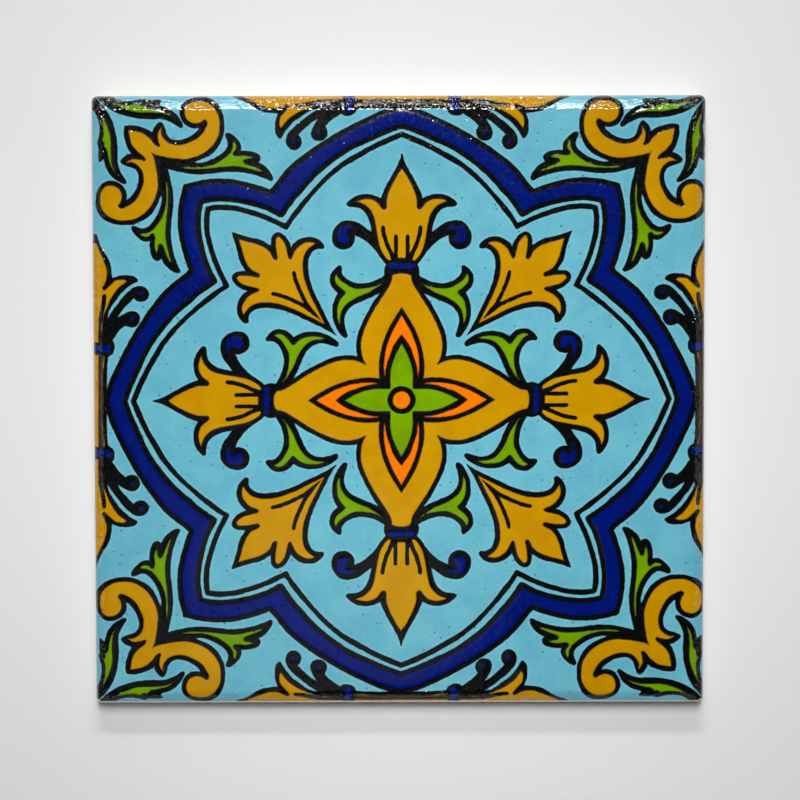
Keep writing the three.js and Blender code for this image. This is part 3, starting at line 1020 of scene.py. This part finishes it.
def glazed(red, green, blue):
    """Colour that shows as the given one under the lamps, whose level on the face is LIGHT."""
    return linear(red, green, blue, 1 / LIGHT)


GROUND = glazed(115, 196, 214)
GROUND_DEEP = glazed(103, 184, 208)
GROUND_PALE = glazed(150, 218, 230)
PIT = glazed(58, 120, 140)
SIDE_BROWN = glazed(66, 50, 30)
SIDE_OCHRE = glazed(184, 136, 16)
BLACK = glazed(10, 12, 12)
BLACK_WORN = glazed(30, 27, 20)
OCHRE = glazed(212, 157, 1)
OCHRE_DEEP = glazed(203, 146, 0)
OCHRE_FRINGE = glazed(140, 84, 4)
GREEN = glazed(124, 172, 0)
GREEN_DEEP = glazed(112, 156, 0)
GREEN_FRINGE = glazed(80, 108, 4)
ORANGE = glazed(254, 128, 0)
ORANGE_FRINGE = glazed(196, 74, 2)
COBALT = glazed(0, 25, 122)
COBALT_DEEP = glazed(0, 20, 106)
# Pale colour of the rim: thin glaze at the arris, and a painted highlight along the front rim.
BARE_RIM_AND_HIGHLIGHT = glazed(250, 246, 238)

# %% Masks of the painting
EDGE_SOFTNESS = 0.08
EDGE_ROUGHNESS = 0.2
BLACK_NAMES = ("flower", "lily", "scroll", "leaf", "side")
GLAZE_GRAIN = (210.0, 1900.0, 620.0, 0.15, 0.8)

glaze_finish, paint, glaze_shader = new_finish("printed_glaze")
clouds, fine_grain, pits = grain(paint, *GLAZE_GRAIN)
wobble = paint.product(paint.total(paint.noise(1100.0, 2.0), -0.5), EDGE_ROUGHNESS)


def mask(field):
    """One inside an outline and zero outside: a smooth step of the roughened field."""
    return paint.step(paint.total(field, wobble), EDGE_SOFTNESS, -EDGE_SOFTNESS)


def between(name):
    """Field of a stripe between an outer and an inner outline: the greater of the one and the
    negative of the other."""
    inner = paint.product(paint.field(name + "_inner"), -1.0)
    return paint.math("MAXIMUM", paint.field(name + "_outer"), inner)


band_edge = between("band")
black_edge = paint.least(
    between("thin"), band_edge, *(paint.field(name + "_edge") for name in BLACK_NAMES)
)
cobalt_edge = paint.least(paint.field("cobalt_edge"), paint.total(band_edge, COBALT_INSET))
enamel_edges = {name: paint.field(name + "_edge") for name in ("green", "orange", "ochre")}
black = mask(black_edge)
strokes = mask(paint.field("stroke_edge"))
axes = paint.node("ShaderNodeSeparateXYZ")
paint.feed(axes.inputs[0], paint.place)
rim_inset = paint.field("rim_inset")

# %% Colour of the ground and the black
halo = paint.product(paint.step(black_edge, 0.55, 0.1), paint.step(fine_grain, 0.3, 0.6), 0.35)
ground = paint.mix(clouds, GROUND, GROUND_DEEP)
ground = paint.mix(paint.product(paint.step(fine_grain, 0.5, 0.75), 0.3), ground, GROUND_PALE)
ground = paint.mix(halo, ground, GROUND_PALE)
ground = paint.mix(paint.step(pits, 0.1, 0.6), ground, PIT)
contour = paint.mix(paint.product(paint.step(fine_grain, 0.5, 0.75), 0.6), BLACK, BLACK_WORN)
contour = paint.mix(paint.step(paint.field("side_band_edge"), 0.06, -0.2), contour, SIDE_BROWN)
contour = paint.mix(paint.step(paint.field("side_line_edge"), 0.02, -0.16), contour, SIDE_OCHRE)
colour = paint.mix(black, ground, contour)

# %% Colour of the enamels
FRINGE_WIDTH = 0.22
FRINGE_STRENGTH = 0.7
COBALT_SOFTNESS = 0.16
ENAMELS = {
    "green": (GREEN, GREEN_DEEP, GREEN_FRINGE),
    "orange": (ORANGE, ORANGE, ORANGE_FRINGE),
    "ochre": (OCHRE, OCHRE_DEEP, OCHRE_FRINGE),
}


def enamel(edge, body, deep, fringe):
    """Body colour with clouds of a deeper one, and a darker fringe where it thins to the black."""
    rim = paint.product(paint.step(edge, -FRINGE_WIDTH, 0.0), FRINGE_STRENGTH)
    return paint.mix(rim, paint.mix(clouds, body, deep), fringe)


cobalt = enamel(cobalt_edge, COBALT, COBALT_DEEP, BLACK)
colour = paint.mix(paint.step(cobalt_edge, COBALT_SOFTNESS, -COBALT_SOFTNESS), colour, cobalt)
for name, colours in ENAMELS.items():
    colour = paint.mix(mask(enamel_edges[name]), colour, enamel(enamel_edges[name], *colours))
colour = paint.mix(strokes, colour, BLACK)

# %% Pale rim: bare arris all round, painted highlight at the front
# A pale line is painted along the rim, broken by the grain. All round it is faint, where the glaze thins at
# the arris. Along the front it is full strength, and there it is a painted highlight of the rim's round.
front = paint.step(axes.outputs["Y"], -0.0517, -0.0522, 0.15, 1.0)
bare_rim_and_highlight = paint.product(paint.step(rim_inset, 0.42, 0.25), front, paint.step(fine_grain, 0.2, 0.45))
colour = paint.mix(bare_rim_and_highlight, colour, BARE_RIM_AND_HIGHLIGHT)
paint.feed(glaze_shader.inputs["Base Color"], colour)

# %% [markdown]
# ## Gloss and ripples of the glaze
# Fired glaze is hard and smooth like glass, with a faint orange peel. On the sloping border it has
# run into ripples, coarser over the thick black, and each ripple catches a lamp of its own. They
# are too fine for the mesh, so they are a bump: a height in millimetres that only turns the
# reflection. The ripple's noise has half taken off it, so that its mask leaves no step.

# %% Gloss and relief of the glaze
PEEL_HEIGHT = 0.02
ENAMEL_HEIGHT = 0.002
PIT_DEPTH = -0.015
RIPPLE_HEIGHT = 0.12
RIPPLE_ON_ENAMEL = 0.01
SPARKLE_HEIGHT = 0.6
FILLET_HEIGHT = 0.05
ALONG = 0.6
INWARDS = 2.2

thick = paint.least(cobalt_edge, *enamel_edges.values())
smooth = paint.step(thick, 0.1, -0.2)
along_rim = paint.node("ShaderNodeCombineXYZ")
for axis in ("X", "Y"):
    paint.feed(along_rim.inputs[axis], paint.product(axes.outputs[axis], ALONG))
paint.feed(along_rim.inputs["Z"], paint.product(rim_inset, INWARDS * MM))
near_border = paint.step(rim_inset, 2.3, 1.9)
ripple = paint.total(paint.noise(1000.0, 2.0, 0.6, along_rim.outputs[0]), -0.5)
fine_ripple = paint.total(paint.noise(1150.0, 1.0), -0.5)
peel = paint.noise(650.0, 2.0)
sparkling = paint.product(black, paint.step(paint.field("side_band_edge"), 0.0, 0.4, 0.3, 1.0))
at_fillet = paint.step(rim_inset, 1.3, 1.7, 0.0, FILLET_HEIGHT)
behind = paint.step(axes.outputs["Y"], 0.044, 0.05, 0.25, 1.0)
ripple_height = paint.step(smooth, 0.0, 1.0, RIPPLE_HEIGHT, RIPPLE_ON_ENAMEL)
sparkle_height = paint.total(paint.product(sparkling, SPARKLE_HEIGHT), at_fillet)
height = paint.total(
    paint.product(peel, PEEL_HEIGHT),
    paint.product(paint.step(thick, 0.08, -0.16), ENAMEL_HEIGHT),
    paint.product(pits, PIT_DEPTH),
    paint.product(near_border, ripple, ripple_height),
    paint.product(near_border, behind, fine_ripple, sparkle_height),
)
bump = paint.node("ShaderNodeBump")
bump.inputs["Distance"].default_value = MM
paint.feed(bump.inputs["Height"], height)
paint.feed(glaze_shader.inputs["Normal"], bump.outputs["Normal"])
paint.feed(glaze_shader.inputs["Roughness"], paint.step(fine_grain, 0.3, 0.7, 0.06, 0.12))
glaze_shader.inputs["IOR"].default_value = 1.6
glaze_mesh.materials.append(glaze_finish)
print("glaze material:", len(glaze_finish.node_tree.nodes), "nodes")

# %% [markdown]
# ## Looks of the clay
# Unglazed earthenware is buff and matt, with a fine grain, paler dust and scattered dark grog. It
# takes the same grain group as the glaze, at coarser scales, for its colour and for a light bump.

# %% Clay material
CLAY_GRAIN = (90.0, 1400.0, 900.0, 0.3, 0.12)
GRAIN_HEIGHT = 0.08
HOLE_DEPTH = -0.1

clay_finish, fired, clay_shader = new_finish("clay_body")
dust, clay_grain, holes = grain(fired, *CLAY_GRAIN)
clay_colour = fired.mix(dust, linear(226, 215, 196), linear(210, 195, 172))
clay_colour = fired.mix(fired.step(clay_grain, 0.45, 0.8), clay_colour, linear(186, 168, 142))
clay_colour = fired.mix(holes, clay_colour, linear(150, 130, 104))
fired.feed(clay_shader.inputs["Base Color"], clay_colour)
clay_shader.inputs["Roughness"].default_value = 0.85
clay_bump = fired.node("ShaderNodeBump")
clay_bump.inputs["Distance"].default_value = MM
rough = fired.total(fired.product(clay_grain, GRAIN_HEIGHT), fired.product(holes, HOLE_DEPTH))
fired.feed(clay_bump.inputs["Height"], rough)
fired.feed(clay_shader.inputs["Normal"], clay_bump.outputs["Normal"])
clay_mesh.materials.append(clay_finish)
print("clay material:", len(clay_finish.node_tree.nodes), "nodes")

# %% [markdown]
# ## Floor and camera
# The tile lies on a plain pale floor. The camera looks almost straight down, six degrees from
# behind the tile, and its lens is worked out from the width that it sees at its distance.

# %% Floor
FLOOR_HALF = 3

floor_plan = np.array([(-1, -1, 0), (1, -1, 0), (1, 1, 0), (-1, 1, 0)]) * FLOOR_HALF
floor_mesh = bpy.data.meshes.new("floor")
floor_mesh.from_pydata(floor_plan.tolist(), [], [(0, 1, 2, 3)])
floor = bpy.data.objects.new("floor", floor_mesh)
bpy.context.collection.objects.link(floor)
floor_finish, _, floor_shader = new_finish("floor")
floor_shader.inputs["Base Color"].default_value = linear(227, 228, 229)
floor_shader.inputs["Roughness"].default_value = 0.9
floor_mesh.materials.append(floor_finish)

# %% Camera
CAMERA_DISTANCE = 0.8
CAMERA_TILT = math.radians(6.0)
CAMERA_ROLL = math.radians(-0.11)
VIEW_WIDTH = 0.13755
SENSOR = 36.0
AIM = np.array([0.000154, 0.000316, 0.007])

camera_data = bpy.data.cameras.new("camera")
camera_data.sensor_width = SENSOR
camera_data.lens = SENSOR * CAMERA_DISTANCE / VIEW_WIDTH
camera_data.clip_start = 0.01
camera_data.clip_end = 50
camera = bpy.data.objects.new("camera", camera_data)
bpy.context.collection.objects.link(camera)
camera.location = AIM + CAMERA_DISTANCE * np.array([0, math.sin(CAMERA_TILT), math.cos(CAMERA_TILT)])
turn = Matrix.Rotation(-CAMERA_TILT, 3, "X") @ Matrix.Rotation(CAMERA_ROLL, 3, "Z")
camera.rotation_euler = turn.to_euler()
bpy.context.scene.camera = camera
print("lens, mm:", round(camera_data.lens, 1))

# %% [markdown]
# ## Light
# A glossy face shows what lies in its mirror, so the light comes from beside the camera's mirror
# and not from it. The main box is a little behind the tile, seventeen degrees from straight above:
# it leaves a short soft shadow in front. A soft spot brightens the middle. The rear bevel mirrors
# a dim card, which lays a sheen on it, and its ripples find the bright strip just above that card,
# which makes them sparkle. Weak cards stand where the other bevels look, and three faint ones lift
# parts of the face. The sky fades to almost nothing overhead, which keeps the black deep.

# %% Lamps
LAMP_DISTANCE = 1.0
MAIN_ANGLE = 17


def direction(from_above, towards):
    """Unit vector at an angle from straight up, turned towards a compass angle from +X."""
    a, b = math.radians(from_above), math.radians(towards)
    return Vector((math.sin(a) * math.cos(b), math.sin(a) * math.sin(b), math.cos(a)))


def above(x, y):
    """Unit vector towards the place that lies over x, y at a height of one."""
    return Vector((x, y, 1.0)).normalized()


def hang(name, data, aim):
    """Links a lamp on its direction at the lamps' distance, facing the middle of the tile."""
    lamp = bpy.data.objects.new(name, data)
    bpy.context.collection.objects.link(lamp)
    lamp.location = aim * LAMP_DISTANCE
    lamp.rotation_euler = (-aim).to_track_quat("-Z", "Y").to_euler()


def card(name, aim, size, radiance):
    """A flat light of even brightness: its power is radiance times area times pi."""
    data = bpy.data.lights.new(name, "AREA")
    data.shape = "RECTANGLE"
    data.size, data.size_y = size
    data.energy = radiance * size[0] * size[1] * math.pi
    hang(name, data, aim)


card("main_box", direction(MAIN_ANGLE, 90), (0.14, 0.35), 40.5)
card("back_card", direction(58, 90), (0.45, 0.09), 3.2)
card("back_strip", direction(46, 90), (0.4, 0.1), 24.0)
card("left_card", direction(61, 180), (0.45, 0.4), 0.6)
card("right_card", direction(61, 0), (0.45, 0.4), 0.6)
card("front_card", direction(70, -90), (0.45, 0.4), 0.6)
card("overhead_card", above(-0.045, -0.19), (0.15, 0.11), 0.12)
card("overhead_middle", above(-0.025, -0.185), (0.09, 0.08), 0.12)
card("overhead_left", above(-0.05, 0.0), (0.1, 0.05), 0.15)

spot = bpy.data.lights.new("middle_spot", "SPOT")
spot.energy = 25.5
spot.spot_size = math.radians(7.6)
spot.spot_blend = 1.0
spot.shadow_soft_size = 0.06
hang("middle_spot", spot, direction(MAIN_ANGLE, 90))

# %% Sky
SKY_LOW = 0.2
SKY_OVERHEAD = 0.012

world = bpy.data.worlds.new("studio")
world.use_nodes = True
sky = Painter(world.node_tree, world.node_tree.nodes.new("ShaderNodeTexCoord").outputs["Generated"])
background = world.node_tree.nodes["Background"]
height_of = sky.node("ShaderNodeSeparateXYZ")
sky.feed(height_of.inputs[0], sky.place)
strength = sky.step(height_of.outputs["Z"], 0.6, 0.93, SKY_LOW, SKY_OVERHEAD)
sky.feed(background.inputs["Strength"], strength)
bpy.context.scene.world = world
bpy.context.scene.view_settings.view_transform = "Standard"
